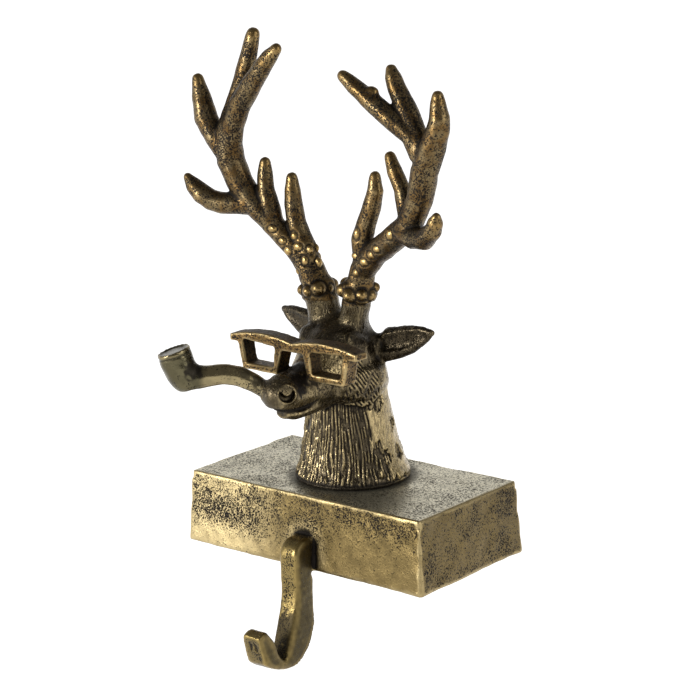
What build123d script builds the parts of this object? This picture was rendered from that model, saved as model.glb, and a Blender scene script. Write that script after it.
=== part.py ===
from build123d import *
from math import cos, radians, sin
import os

# A cast mantel hook: a tapered block with a J hook on its front, and a deer's bust with antlers,
# spectacles and a pipe bolted on top. +X is the deer's left, -Y the front, Z up.
# The origin is the middle of the underside, which lies on the mantel.
# All sizes are millimetres, angles are degrees.

# Block
block_width = 127.0
block_depth = 70.0
block_height = 31.0
block_draft = 4.15
block_corner = 2.0
block_edge = 0.9
block_wall = 7.0
block_roof = 8.0
pocket_corner = 5.0

# Felt sheet let into the underside
felt_thickness = 1.5
felt_margin = 3.0
felt_clearance = 0.2

# Screw and washer that pull the bust down on the block
screw_diameter = 6.0
screw_bite = 14.0
screw_head_flats = 10.0
screw_head_height = 4.0
hole_clearance = 0.6
thread_clearance = 0.1
hole_spare = 2.0
washer_diameter = 18.0
washer_thickness = 1.6

# J hook, cast in one with the block; the outward distances start at the block's front
hook_width = 9.4
hook_offset = 2.0
hook_shank = 9.6
hook_bed = 3.0
hook_root_height = 14.0
hook_straight = 12.0
hook_heel_height = 21.8
hook_drop = 37.8
hook_low_out = 15.5
hook_toe_out = 29.6
hook_toe_rise = 5.4
hook_reach = 34.0
hook_tip_rise = 18.2
hook_tip_thickness = 3.0
hook_throat_out = 17.8
hook_throat_rise = 2.8
hook_throat_radius = 1.5
hook_belly_radius = 30.0
hook_edge = 0.5
hook_root_share = 0.7

# Bust: its foot stands this far behind the block's middle. Its forms are lofted through polygons
# with these numbers of corners, which keeps the faces few
bust_set_back = 1.0
limb_corners = 12
head_corners = 20
ear_corners = 12
pipe_corners = 16

# Neck sections, foot to nape: radius, y, height above the block
neck_sections = [
    (24.4, 0.0, 0.0),
    (25.2, 0.0, 1.0),
    (22.8, -0.2, 7.0),
    (20.1, -1.2, 18.0),
    (18.2, -2.3, 31.0),
    (16.6, -3.2, 42.0),
    (11.0, -3.8, 51.0),
]
fur_locks = 30
fur_groove = 0.8

# Skull and muzzle sections, back to front: y, height, half width, half height
skull_sections = [
    (14.0, 53.0, 6.5, 8.5),
    (6.0, 53.0, 14.5, 17.0),
    (-7.0, 52.5, 16.5, 19.5),
    (-19.0, 49.5, 13.5, 16.0),
    (-29.0, 45.5, 9.5, 10.0),
    (-38.0, 44.8, 8.0, 8.5),
    (-44.1, 45.2, 8.2, 8.2),
    (-48.7, 45.2, 6.7, 6.7),
    (-51.2, 45.2, 4.0, 4.0),
    (-52.1, 45.2, 1.4, 1.4),
]

# Lower jaw sections, back to front: y, height, half width, half height
jaw_sections = [
    (-18.0, 41.0, 9.0, 7.0),
    (-30.0, 37.9, 7.0, 4.7),
    (-38.0, 36.9, 5.8, 3.9),
    (-44.0, 37.3, 3.4, 2.5),
]

# Nostrils: a raised ring on each side of the nose
nose_centre = (0.0, -44.1, 45.2)
nostril_aim = (0.85, -0.48, 0.22)
nostril_face = 8.1
nostril_radius = 4.2
nostril_hollow = 3.4
nostril_boss = 2.3
nostril_boss_lift = 1.4
nostril_depth = 3.0

# Brow ridge and cheek on the deer's left, back to front: x, y, height, radius
brow_stations = [
    (9.6, -4.0, 60.5, 4.4),
    (9.4, -11.0, 62.0, 5.2),
    (9.2, -16.5, 61.8, 5.2),
    (9.0, -20.6, 60.6, 3.0),
]
cheek_stations = [
    (6.0, 8.2, 49.0, 6.3),
    (8.0, 4.0, 46.0, 10.2),
    (8.5, -3.5, 44.6, 11.8),
    (7.5, -11.0, 44.6, 11.0),
    (5.5, -20.0, 45.6, 8.4),
    (3.5, -29.0, 46.0, 5.0),
]

# Ear sections, root to tip: x, y, height, half height, half thickness
ear_sections = [
    (12.0, 3.0, 55.6, 7.2, 5.0),
    (20.0, 3.6, 58.9, 7.3, 4.2),
    (29.0, 4.2, 62.0, 6.1, 3.2),
    (36.0, 4.4, 64.7, 3.8, 2.2),
    (41.0, 4.5, 66.3, 0.8, 0.7),
]

# The hollow in front of each ear, root to tip
ear_hollow_sections = [
    (16.0, -0.6, 58.4, 2.6, 1.6),
    (25.0, 0.6, 61.0, 4.0, 2.4),
    (32.0, 1.6, 63.2, 3.0, 1.7),
    (37.5, 2.8, 65.1, 1.0, 0.8),
]

# Spectacles: they sit a little to the deer's right; one half is drawn from the bridge outwards
glasses_offset = -0.9
glasses_front = -36.0
glasses_depth = 7.5
glasses_half_width = 33.6
glasses_base = 50.0
bridge_half_width = 5.6
bridge_bottom = 60.4
bridge_top = 64.3
bar_crest = 66.2
bar_crest_at = 19.4
wing_bottom = 61.2
wing_top = 64.0
rim_inner = 8.3
rim_outer = 27.0
rim_shoulder = 29.3
lens_bottom = 52.8
lens_top = 61.4
lens_lift = 1.4
lens_inner = 10.2
lens_outer = 25.0
lens_flare = 1.8

# Pipe: it leaves the deer's right lip and runs out at this angle from straight ahead
pipe_root = (-8.0, -45.0, 45.0)
pipe_angle = 50.0
# Stem stations: distance from the lip, height above the lip, radius
stem_stations = [
    (-5.0, -0.5, 3.2),
    (0.0, 1.3, 3.5),
    (5.0, 4.4, 3.8),
    (10.0, 6.9, 4.1),
    (16.0, 8.0, 4.1),
    (22.0, 7.4, 4.3),
    (26.0, 7.0, 4.7),
    (29.5, 7.2, 5.4),
    (32.0, 7.4, 5.8),
]
# Bowl stations: distance from the lip, height above the lip, radius
bowl_stations = [
    (30.4, 1.9, 2.6),
    (30.7, 2.7, 4.2),
    (31.6, 5.0, 5.7),
    (33.0, 8.6, 6.5),
    (34.8, 13.6, 6.9),
    (36.3, 18.6, 6.9),
]
bowl_dish_radius = 5.9
bowl_lean = 17.0
bowl_dish_depth = 0.7

# Antler stations, root to tip: x, y, height, radius. The two antlers aren't mirror images.
left_beam = [
    (5.9, -4.5, 62.0, 6.9),
    (9.3, -5.8, 78.6, 6.0),
    (10.5, -6.0, 80.6, 7.6),
    (11.3, -6.3, 84.0, 7.8),
    (12.2, -6.5, 86.2, 5.7),
    (14.0, -7.0, 91.6, 5.5),
    (22.7, -9.0, 99.8, 5.3),
    (34.1, -12.0, 107.0, 5.3),
    (44.0, -14.0, 114.4, 5.3),
    (49.9, -15.0, 124.8, 5.5),
    (53.4, -16.0, 136.4, 5.7),
    (58.4, -17.0, 146.8, 5.3),
    (61.5, -17.6, 153.5, 4.8),
    (62.5, -18.0, 158.5, 4.2),
    (62.0, -18.5, 169.0, 2.4),
]
left_tines = [
    [
        (13.5, -7.2, 94.0, 3.8), (14.6, -8.0, 104.0, 4.5), (17.0, -8.0, 111.0, 4.0),
        (19.9, -8.0, 117.5, 3.8), (22.1, -8.0, 125.0, 3.3), (22.0, -8.0, 132.6, 2.2),
    ],
    [
        (42.5, -13.0, 116.0, 4.0), (38.8, -12.0, 127.5, 3.4),
        (34.9, -11.5, 134.5, 3.1), (31.8, -11.0, 141.7, 2.3),
    ],
    [
        (40.0, -14.0, 111.5, 4.6), (47.5, -16.5, 109.8, 4.6), (55.0, -19.0, 110.3, 4.3),
        (62.0, -22.5, 115.2, 3.6), (63.9, -23.3, 119.0, 3.0), (65.2, -24.0, 122.3, 1.8),
    ],
    [
        (51.5, -16.5, 142.0, 3.9), (47.6, -17.2, 150.0, 3.7), (41.0, -18.0, 155.0, 4.2),
        (29.0, -19.5, 163.6, 4.0), (22.2, -20.0, 168.3, 3.3), (15.3, -20.5, 173.2, 2.4),
    ],
    [
        (53.5, -16.5, 143.0, 4.2), (44.9, -14.5, 158.0, 4.4), (38.3, -13.5, 168.0, 3.8),
        (36.2, -13.2, 172.6, 3.2), (35.0, -13.0, 176.7, 2.4),
    ],
]
right_beam = [
    (-6.8, -4.5, 60.0, 8.2),
    (-9.8, -5.8, 76.4, 6.9),
    (-10.7, -6.0, 78.4, 7.7),
    (-11.6, -6.3, 81.6, 7.9),
    (-12.3, -6.5, 83.6, 6.1),
    (-14.4, -7.0, 88.9, 5.8),
    (-17.6, -8.0, 93.5, 5.1),
    (-21.5, -9.0, 97.9, 4.9),
    (-29.7, -12.0, 106.2, 4.6),
    (-38.0, -14.0, 114.5, 5.1),
    (-44.4, -15.0, 122.5, 5.6),
    (-48.4, -16.0, 132.0, 6.0),
    (-48.8, -16.5, 144.0, 5.3),
    (-43.6, -14.0, 161.0, 4.2),
    (-39.3, -13.5, 174.0, 3.6),
    (-35.3, -13.0, 187.4, 2.9),
]
right_tines = [
    [
        (-13.9, -7.5, 91.9, 4.4), (-15.4, -7.8, 97.0, 4.6), (-18.5, -8.0, 102.0, 4.5),
        (-20.4, -8.0, 108.3, 4.1), (-21.5, -8.0, 114.6, 3.9), (-21.8, -8.0, 121.5, 3.2),
        (-22.0, -8.0, 128.2, 2.3),
    ],
    [
        (-29.0, -12.0, 104.0, 4.4), (-31.0, -11.8, 112.0, 4.4), (-33.5, -11.5, 120.5, 3.9),
        (-33.9, -11.2, 127.3, 3.2), (-33.7, -11.0, 134.0, 2.4),
    ],
    [
        (-38.0, -14.0, 114.3, 4.6), (-51.5, -19.0, 114.4, 4.6), (-56.0, -20.8, 115.5, 4.5),
        (-59.5, -22.5, 118.0, 4.3), (-63.9, -23.2, 121.6, 3.4), (-67.0, -24.0, 126.0, 1.9),
    ],
    [
        (-48.0, -16.5, 137.0, 4.8), (-45.2, -17.5, 147.1, 4.8), (-39.5, -18.5, 156.7, 4.6),
        (-33.0, -19.2, 164.4, 4.4), (-26.2, -20.0, 171.8, 3.9), (-21.2, -20.2, 177.0, 3.3),
        (-15.8, -20.5, 182.2, 2.3),
    ],
    [
        (-49.5, -16.5, 134.5, 4.8), (-55.0, -17.2, 141.7, 5.0), (-59.5, -18.0, 149.2, 5.0),
        (-61.6, -18.2, 158.3, 4.0), (-63.4, -18.5, 167.6, 2.5),
    ],
]
tip_angles = (40.0, 70.0)


def bust_point(x, y, height):
    """A point of the bust, from its foot's middle to the frame of the whole part."""
    return Vector(x, bust_set_back + y, block_height + height)


def tangents(points):
    """The direction of travel at each point of a line."""
    last = len(points) - 1
    return [(points[min(i + 1, last)] - points[max(i - 1, 0)]).normalized() for i in range(last + 1)]


def across(point, direction, sideways):
    """The plane square to a direction at a point, with its x axis nearest to sideways."""
    return Plane(origin=point, x_dir=sideways - direction * sideways.dot(direction), z_dir=direction)


def outline(half_width, half_height, corners):
    """The corners of a polygon that stands for an ellipse."""
    turns = [radians(360 * (i + 0.5) / corners) for i in range(corners)]
    return [(half_width * cos(turn), half_height * sin(turn)) for turn in turns]


def fluted_outline(radius):
    """The neck's outline: a circle with a groove between each two locks of fur."""
    corners = 2 * fur_locks
    radii = [radius - fur_groove * (i % 2) for i in range(corners)]
    turns = [radians(360 * i / corners) for i in range(corners)]
    return [(reach * cos(turn), reach * sin(turn)) for reach, turn in zip(radii, turns)]


def form(planes, outlines):
    """A solid lofted straight from each outline, in its plane, to the next."""
    with BuildPart() as solid:
        for plane, corners in zip(planes, outlines):
            with BuildSketch(plane):
                Polygon(*corners, align=None)
        loft(ruled=True)
    return solid.part


def mirrored(stations):
    """The same stations on the deer's other side."""
    return [(-x, *rest) for x, *rest in stations]


def branch(stations):
    """A tapering limb through round sections, with a round tip that ends at the last station."""
    points = [bust_point(*station[:3]) for station in stations]
    radii = [station[3] for station in stations]
    ahead = tangents(points)[-1]
    tip_radius = radii[-1]
    tip_centre = points[-1] - ahead * tip_radius
    points[-1] = tip_centre
    for angle in tip_angles:
        points.append(tip_centre + ahead * (tip_radius * sin(radians(angle))))
        radii.append(tip_radius * cos(radians(angle)))
    planes = [across(point, run, Vector(0, 1, 0)) for point, run in zip(points, tangents(points))]
    return form(planes, [outline(radius, radius, limb_corners) for radius in radii])


def head_form(sections):
    """A form through upright sections, from the back of the head to the front."""
    planes = [
        Plane(origin=bust_point(0, y, height), x_dir=(1, 0, 0), z_dir=(0, -1, 0))
        for y, height, _, _ in sections
    ]
    return form(planes, [outline(*section[2:], head_corners) for section in sections])


def ear_form(sections):
    """A form along an ear, through sections square to its run."""
    points = [bust_point(*section[:3]) for section in sections]
    planes = [across(point, run, Vector(0, 0, 1)) for point, run in zip(points, tangents(points))]
    return form(planes, [outline(*section[3:], ear_corners) for section in sections])


def pipe_point(distance, rise):
    """A point in the pipe's upright plane, from the lip outwards."""
    lip = bust_point(*pipe_root)
    ahead = Vector(0, -1, 0).rotate(Axis.Z, -pipe_angle)
    return lip + ahead * distance + Vector(0, 0, rise)


def pipe_planes(points, runs):
    """Planes square to the runs at points of the pipe."""
    sideways = Vector(1, 0, 0).rotate(Axis.Z, -pipe_angle)
    return [across(point, run, sideways) for point, run in zip(points, runs)]


def pipe_outlines(stations):
    """The round outlines of the pipe's stations."""
    return [outline(radius, radius, pipe_corners) for _, _, radius in stations]


# J hook: its side profile, drawn in the YZ plane and given its width
front = -block_depth / 2
shank_front = front - hook_shank
lowest = Vector(front - hook_low_out, -hook_drop)
toe = Vector(front - hook_toe_out, hook_toe_rise - hook_drop)
tip = Vector(front - hook_reach, hook_tip_rise - hook_drop)
throat = Vector(front - hook_throat_out, hook_throat_rise - hook_drop)
knee = Vector(shank_front, -hook_straight)
root = Vector(shank_front, hook_root_height)

with BuildPart() as hook:
    with BuildSketch(Plane.YZ.offset(hook_offset - hook_width / 2)) as hook_profile:
        with BuildLine():
            heel_centre = Vector(lowest.X, hook_heel_height - hook_drop)
            heel = EllipticalCenterArc(
                heel_centre, hook_low_out, hook_heel_height, start_angle=270, arc_size=90
            )
            sole = TangentArc(lowest, toe, tangent=(-1, 0))
            leg = Line(toe, tip)
            tip_cut = PolarLine(tip, hook_tip_thickness, direction=(leg % 1).rotate(Axis.Z, -90))
            Polyline(tip_cut @ 1, throat, knee, root)
            Polyline(root, (front + hook_bed, root.Y), (front + hook_bed, 0), (front, 0), heel @ 1)
        make_face()
        corners = hook_profile.vertices()
        fillet(corners.sort_by_distance(throat)[0], hook_throat_radius)
        fillet(hook_profile.vertices().sort_by_distance(knee)[0], hook_belly_radius)
        fillet(hook_profile.vertices().sort_by_distance(root)[0], hook_shank * hook_root_share)
    extrude(amount=hook_width)
    chamfer(hook.faces().filter_by(Axis.X).edges(), hook_edge)

# Block, hollow underneath, with the hook cast on its front
pocket_height = block_height - block_roof

with BuildPart() as base_casting:
    with BuildSketch():
        RectangleRounded(block_width, block_depth, block_corner)
    extrude(amount=block_height, taper=block_draft)
    fillet(base_casting.faces().sort_by(Axis.Z)[-1].edges(), block_edge)
    add(hook.part)
    with BuildSketch():
        RectangleRounded(block_width - 2 * block_wall, block_depth - 2 * block_wall, pocket_corner)
    extrude(amount=pocket_height, taper=block_draft, mode=Mode.SUBTRACT)
    with BuildSketch():
        RectangleRounded(block_width - 2 * felt_margin, block_depth - 2 * felt_margin, block_corner)
    extrude(amount=felt_thickness, mode=Mode.SUBTRACT)
    with Locations((0, bust_set_back, block_height)):
        Hole((screw_diameter + hole_clearance) / 2, depth=block_roof)
base_casting.part.label = "base_casting"

# Felt sheet that closes the hollow and spares the mantel
with BuildPart() as felt_pad:
    with BuildSketch():
        sheet_margin = felt_margin + felt_clearance
        RectangleRounded(block_width - 2 * sheet_margin, block_depth - 2 * sheet_margin, block_corner)
    extrude(amount=felt_thickness)
felt_pad.part.label = "felt_pad"

# Washer and hexagon screw, put in from the hollow before the felt
washer_bottom = pocket_height - washer_thickness

with BuildPart() as screw_washer:
    with BuildSketch(Plane((0, bust_set_back, washer_bottom))):
        Circle(washer_diameter / 2)
        Circle((screw_diameter + hole_clearance) / 2, mode=Mode.SUBTRACT)
    extrude(amount=washer_thickness)
screw_washer.part.label = "screw_washer"

with BuildPart() as bust_screw:
    with BuildSketch(Plane((0, bust_set_back, washer_bottom - screw_head_height))):
        RegularPolygon(screw_head_flats / 2, 6, major_radius=False)
    extrude(amount=screw_head_height)
    with BuildSketch(Plane((0, bust_set_back, washer_bottom))):
        Circle(screw_diameter / 2)
    extrude(amount=washer_thickness + block_roof + screw_bite)
bust_screw.part.label = "bust_screw"

# Spectacles: one half of the front drawn from the bridge outwards, mirrored and given its depth
glasses_plane = Plane(bust_point(glasses_offset, glasses_front, 0), x_dir=(1, 0, 0), z_dir=(0, -1, 0))

with BuildPart() as glasses:
    with BuildSketch(glasses_plane) as glasses_front_face:
        with BuildLine():
            brow = ThreePointArc((0, bridge_top), (bar_crest_at, bar_crest), (glasses_half_width, wing_top))
            Polyline(
                brow @ 1,
                (glasses_half_width, wing_bottom),
                (rim_shoulder, wing_bottom),
                (rim_outer, glasses_base),
                (rim_inner, glasses_base),
                (bridge_half_width, bridge_bottom),
                (0, bridge_bottom),
                (0, bridge_top),
            )
        make_face()
        with BuildLine():
            Polyline(
                (lens_inner, lens_bottom),
                (lens_outer, lens_bottom),
                (lens_outer + lens_flare, lens_top + lens_lift),
                (lens_inner - lens_flare / 2, lens_top),
                close=True,
            )
        make_face(mode=Mode.SUBTRACT)
        mirror(about=Plane.YZ)
    extrude(amount=-glasses_depth)

# Pipe: an S-bent stem that swells into a leaning bowl with a dished top
stem_points = [pipe_point(*station[:2]) for station in stem_stations]
stem_planes = pipe_planes(stem_points, tangents(stem_points))
bowl_points = [pipe_point(*station[:2]) for station in bowl_stations]
bowl_run = pipe_point(sin(radians(bowl_lean)), cos(radians(bowl_lean))) - pipe_point(0, 0)
bowl_planes = pipe_planes(bowl_points, [bowl_run] * len(bowl_points))

with BuildPart() as pipe:
    add(form(stem_planes, pipe_outlines(stem_stations)))
    add(form(bowl_planes, pipe_outlines(bowl_stations)))
    with BuildSketch(bowl_planes[-1]):
        Circle(bowl_dish_radius)
    extrude(amount=-bowl_dish_depth, mode=Mode.SUBTRACT)

# Bust: neck, head, ears and antlers with the spectacles and the pipe, one casting
neck_planes = [Plane(bust_point(0, *section[1:])) for section in neck_sections]
neck = form(neck_planes, [fluted_outline(section[0]) for section in neck_sections])
brows = [branch(brow_stations), branch(mirrored(brow_stations))]
cheeks = [branch(cheek_stations), branch(mirrored(cheek_stations))]
ears = [ear_form(ear_sections), ear_form(mirrored(ear_sections))]
ear_hollows = [ear_form(ear_hollow_sections), ear_form(mirrored(ear_hollow_sections))]
antlers = [branch(stations) for stations in [left_beam, right_beam, *left_tines, *right_tines]]

with BuildPart() as deer_bust:
    add(neck)
    add([head_form(skull_sections), head_form(jaw_sections), *brows, *cheeks, *ears], clean=False)
    add(ear_hollows, clean=False, mode=Mode.SUBTRACT)
    add(antlers, clean=False)
    for side in (1, -1):
        aim = Vector(side * nostril_aim[0], *nostril_aim[1:]).normalized()
        rim = bust_point(*nose_centre) + aim * nostril_face
        nostril_plane = across(rim, aim, Vector(0, 0, 1))
        with BuildSketch(nostril_plane):
            Circle(nostril_radius)
        extrude(amount=-nostril_depth, clean=False)
        with BuildSketch(nostril_plane):
            Circle(nostril_hollow)
            with Locations((nostril_boss_lift, 0)):
                Circle(nostril_boss, mode=Mode.SUBTRACT)
        extrude(amount=-nostril_depth, clean=False, mode=Mode.SUBTRACT)
    add([glasses.part, pipe.part], clean=False)
    with BuildSketch(Plane((0, bust_set_back, block_height))):
        Circle((screw_diameter + thread_clearance) / 2)
    extrude(amount=screw_bite + hole_spare, clean=False, mode=Mode.SUBTRACT)
deer_bust.part.label = "deer_bust"

os.makedirs("parts", exist_ok=True)
for node in (base_casting, felt_pad, screw_washer, bust_screw, deer_bust):
    export_step(node.part, f"parts/{node.part.label}.step")
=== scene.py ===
"""Looks of a cast brass mantel hook with a deer's bust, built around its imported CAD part."""

import math
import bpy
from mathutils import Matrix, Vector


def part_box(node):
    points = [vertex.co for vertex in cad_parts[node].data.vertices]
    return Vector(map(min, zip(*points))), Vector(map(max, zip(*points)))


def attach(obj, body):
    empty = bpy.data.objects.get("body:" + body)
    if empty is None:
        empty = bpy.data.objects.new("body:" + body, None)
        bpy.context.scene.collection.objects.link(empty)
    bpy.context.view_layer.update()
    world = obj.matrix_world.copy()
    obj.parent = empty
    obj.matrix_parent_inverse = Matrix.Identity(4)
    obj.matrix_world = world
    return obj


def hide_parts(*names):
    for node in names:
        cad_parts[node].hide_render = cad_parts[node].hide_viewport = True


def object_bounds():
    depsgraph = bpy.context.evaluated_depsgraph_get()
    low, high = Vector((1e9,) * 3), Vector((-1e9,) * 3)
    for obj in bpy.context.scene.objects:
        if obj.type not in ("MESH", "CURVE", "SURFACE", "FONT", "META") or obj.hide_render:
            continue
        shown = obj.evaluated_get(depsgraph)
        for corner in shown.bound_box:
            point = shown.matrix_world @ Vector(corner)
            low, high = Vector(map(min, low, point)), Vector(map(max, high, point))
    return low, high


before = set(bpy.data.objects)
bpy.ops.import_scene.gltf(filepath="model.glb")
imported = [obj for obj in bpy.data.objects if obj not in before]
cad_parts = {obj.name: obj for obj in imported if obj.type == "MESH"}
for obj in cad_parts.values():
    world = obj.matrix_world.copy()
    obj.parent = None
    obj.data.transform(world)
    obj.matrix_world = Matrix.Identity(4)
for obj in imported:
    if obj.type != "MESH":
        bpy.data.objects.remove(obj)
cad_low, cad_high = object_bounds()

from types import SimpleNamespace

import bmesh
import bpy
import numpy as np
from bpy.props import FloatProperty, FloatVectorProperty, IntProperty, PointerProperty
from bpy.types import Operator, Panel, PropertyGroup
from mathutils import Matrix, Quaternion, Vector

bl_info = {
    "name": "Cast Deer Hook",
    "version": (1, 0, 0),
    "blender": (4, 5, 0),
    "location": "3D View > Sidebar > Deer Hook",
    "description": "Casts the bust, the block and the hook, and finishes them in antiqued brass",
    "category": "Add Mesh",
}

MM = 0.001
BODY = "root"

# The bust's own frame, in millimetres: its foot's middle stands on the block, over the screw
screw_low, screw_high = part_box("bust_screw")
bust_low, bust_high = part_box("deer_bust")
block_low, block_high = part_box("base_casting")
FOOT = np.array([(screw_low.x + screw_high.x) / 2, (screw_low.y + screw_high.y) / 2, bust_low.z])

# Neck: radius and lean to the front at each height above the foot
NECK_HEIGHTS = (0.0, 1.0, 7.0, 18.0, 31.0, 42.0, 51.0)
NECK_RADII = (24.4, 25.2, 22.8, 20.1, 18.2, 16.6, 11.0)
NECK_LEANS = (0.0, 0.0, -0.2, -1.2, -2.3, -3.2, -3.8)

# Left edge of the patch on the neck that is rubbed smooth: turn from the front at each height
PATCH_HEIGHTS = (3.0, 15.0, 30.0, 40.0)
PATCH_EDGES = (1.45, 1.3, 1.05, 1.0)

# Back of the cheeks: how far they reach along this way, outwards and back, at each height
CHEEK_WAY = (0.77, 0.64)
CHEEK_HEIGHTS = (36.0, 38.0, 44.0, 48.0, 51.0)
CHEEK_LIMITS = (17.0, 16.4, 15.8, 14.8, 14.2)

# Jaw's lower edge on the neck: height at each turn from the front
JAW_TURNS = (0.38, 0.64, 0.9, 1.06, 1.3, 1.46, 1.56, 1.83, 2.2)
JAW_HEIGHTS = (36.9, 35.7, 35.2, 34.2, 35.1, 36.6, 38.6, 40.1, 43.0)

# Slit of the mouth: height at each depth from the nose backwards, and half its width
MOUTH_DEPTHS = (-49.5, -46.3, -41.4, -36.8, -33.1, -29.6, -27.0)
MOUTH_HEIGHTS = (39.2, 38.6, 38.1, 38.3, 38.9, 40.6, 41.9)
MOUTH_WIDTH = 0.9

# Pipe: where it leaves the lips, its way out from there, seen from above, and where it is clear of the lips
PIPE_ROOT = (-8.0, -45.0)
PIPE_WAY = (-0.766, -0.643)
PIPE_START = 0.8
PIPE_FRONT = -37.4
# Middle of the bowl's rim: way from the lips, and height; the bowl's lean; the line under its rim
BOWL_RIM = (36.3, 63.6)
BOWL_LEAN = math.radians(17.0)
RIM_LINE = -2.1
RIM_LINE_WIDTH = 0.35

# Spectacles: their box, and the nose's arch inside it, which isn't theirs: half width, middle height, rise
SPECTACLE_DEPTHS = (-36.6, -27.6)
SPECTACLE_HEIGHTS = (49.4, 67.4)
NOSE_ARCH = (9.3, 45.2, 10.2)
# Their lenses: middle between the two, then the box of both openings, sideways from that middle
LENS_MIDDLE = -0.9
LENS_SIDES = (8.8, 27.6)
LENS_DEPTHS = (-35.3, -27.0)
LENS_HEIGHTS = (52.0, 63.4)

# Pearls on the front of the two beams: x, y, height
PEARLS = (
    (-27.3, -15.6, 105.3),
    (-23.3, -14.2, 100.4),
    (-21.1, -13.2, 96.2),
    (-18.6, -12.0, 102.6),
    (-16.7, -11.9, 98.2),
    (-13.4, -11.6, 92.6),
    (-16.9, -11.5, 87.8),
    (-11.8, -10.2, 97.2),
    (-9.6, -6.6, 91.6),
    (14.9, -11.8, 107.0),
    (13.0, -11.1, 97.6),
    (19.3, -13.0, 96.2),
    (27.9, -15.2, 102.9),
    (14.0, -12.0, 90.9),
    (36.4, -17.3, 109.9),
    (23.8, -14.0, 99.8),
)
# How deep the pearls' middles lie in the beam, and their depth for each unit of breadth
PEARL_SINK = 0.2
PEARL_FLATNESS = 0.6
# How much the pearls' radius and their breadth for each unit of height vary
PEARL_SPREAD = (0.75, 1.1)
PEARL_STRETCH = (0.8, 1.25)
# Where the beams' middle lies behind them: y at each height
BEAM_HEIGHTS = (62.0, 86.0, 92.0, 102.0, 109.0, 115.0)
BEAM_MIDDLES = (-4.5, -6.4, -7.0, -9.0, -12.0, -14.0)

# Burr of each antler: middle and direction
BURRS = (
    ((11.0, -6.2, 82.6), (0.17, -0.09, 0.98)),
    ((-11.3, -6.2, 80.3), (-0.24, -0.09, 0.97)),
)
# Lumps round each burr: their number, the radius of their ring, and how much place and radius vary
BURR_LUMPS = 8
BURR_RING = 6.3
BURR_SHIFT = 0.2
BURR_SWAY = 1.3
BURR_RADII = (1.7, 3.1)

# Knob on top of the left antler's innermost prong
KNOB = (30.0, -19.4, 166.2)
KNOB_RADII = (3.6, 2.6, 2.6)

# Eye behind the spectacles, and nostril: middle and reach, on both sides
EYE = (9.5, -22.5, 56.0)
EYE_REACH = 8.0
NOSTRIL = (6.6, -46.6, 46.2)
NOSTRIL_REACH = 5.0

# Places where the brass is darkened, with patina and with painted shade: middle, radius, strength; those of
# the face lie on both sides
FACE_STAINS = (
    # Patina in the recess between spectacles and muzzle, with painted shadow under the spectacles
    ((5.4, -39.0, 50.6), 4.6, 1.0),
    ((7.7, -40.3, 47.4), 3.4, 1.0),
    ((0.0, -33.5, 53.6), 5.0, 0.9),
    ((8.8, -33.0, 50.0), 3.4, 0.8),
)
PIPE_STAINS = (
    ((-26.8, -66.6, 56.0), 4.6, 0.9),
    # Painted shade on the top of the stem, near the lips
    ((-11.2, -52.4, 55.0), 3.6, 0.7),
    ((-7.6, -49.6, 50.6), 3.0, 0.8),
    # Painted shade on the front of the muzzle
    ((-3.0, -50.5, 44.5), 9.0, 0.4),
)

# Soft regions: along each measure, where the region ends and where it counts in full, at one end or both.
# Side is the distance from the middle plane, and depth runs to the back. First the bust's, in its own frame
CHEEK_BACKS = {"depth": (-16.0, -8.0), "height": (36.0, 40.0, 54.0, 50.0)}
NAPE = {"depth": (-12.0, -7.0), "height": (32.0, 35.0, 49.0, 45.0)}
BROW = {"side": (17.5, 15.0), "depth": (-24.0, -20.0), "height": (59.0, 63.0, 76.0, 71.0)}
TEMPLES = {"side": (10.5, 13.0, 17.0, 15.0), "depth": (-9.0, -5.0), "height": (59.0, 63.0, 75.0, 70.0)}
CROWN_BACK = {"side": (14.5, 12.0), "depth": (1.5, 5.5), "height": (54.0, 61.0, 74.0, 69.0)}
CROWN_HAIR = {"side": (18.0, 14.0), "depth": (-25.0, -20.0), "height": (54.0, 58.0, 78.0, 70.0)}
CROWN_STAIN = {"depth": (-30.0, -26.0), "height": (52.0, 57.0, 72.0, 66.0)}
EARS = {"side": (16.0, 19.0), "depth": (-8.0, -4.0), "height": (48.0, 51.0)}
RUFF = {"side": (8.5, 11.5), "depth": (-23.0, -17.0), "height": (57.0, 53.0, 30.0, 33.0)}
MOUTH = {"side": (11.0, 10.0), "depth": (-29.0, -32.0, -51.5, -49.5)}
PIPE_STEM = {"height": (60.0, 57.0)}
LIT_NECK = {"height": (30.0, 14.0, 2.0, 4.0)}
PALE_CHEEKS = {"depth": (-7.0, -2.0), "height": (33.0, 36.0, 53.0, 49.0)}
PALE_MUZZLE = {"side": (3.0, 6.0), "depth": (-27.0, -33.0), "height": (50.0, 47.0)}
PALE_PEDICLES = {"side": (20.0, 17.0), "height": (64.0, 71.0)}
PALE_HEAD = {"height": (34.0, 40.0, 60.0, 54.0)}
# Then those of the hook, in the frame of the whole part
SHANK = {"depth": (-60.0, -54.0)}
SHANK_BACK = {"height": (-1.0, -4.0, -30.0, -22.0)}
SHANK_SIDE = {**SHANK, "height": (-2.0, -6.0)}
HEEL = {**SHANK, "height": (-12.0, -22.0)}
TOE = {"x": (2.0, -3.0), "depth": (-56.0, -64.0), "height": (-18.0, -24.0)}
TOE_INSIDE = {"depth": (-56.0, -62.0), "height": (-33.0, -27.0)}

# How far the bust's surface is moved, in millimetres; EAR_FILL is a share of the depth of the ears' cups
STEM_RISE = 0.3
TEMPLE_DROP = 0.9
CROWN_DROP = 2.4
JAW_RISE = 0.9
EAR_FILL = 1.3
MOUTH_DEPTH = 1.3
CROWN_HAIR_DEPTH = 0.2
EAR_HAIR_DEPTH = 0.13
RING_DEPTH = 0.3
RIM_DEPTH = 0.25
# And the hook's surface
HOOK_RISE = 0.3
SHANK_RISE = 0.7
HEEL_RISE = 1.1
SIDE_SHIFT = 0.5
TOE_SHIFT = 1.3
TOE_INSIDE_SHIFT = (1.4, 0.7)
PIT_DEPTH = 0.3

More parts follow.
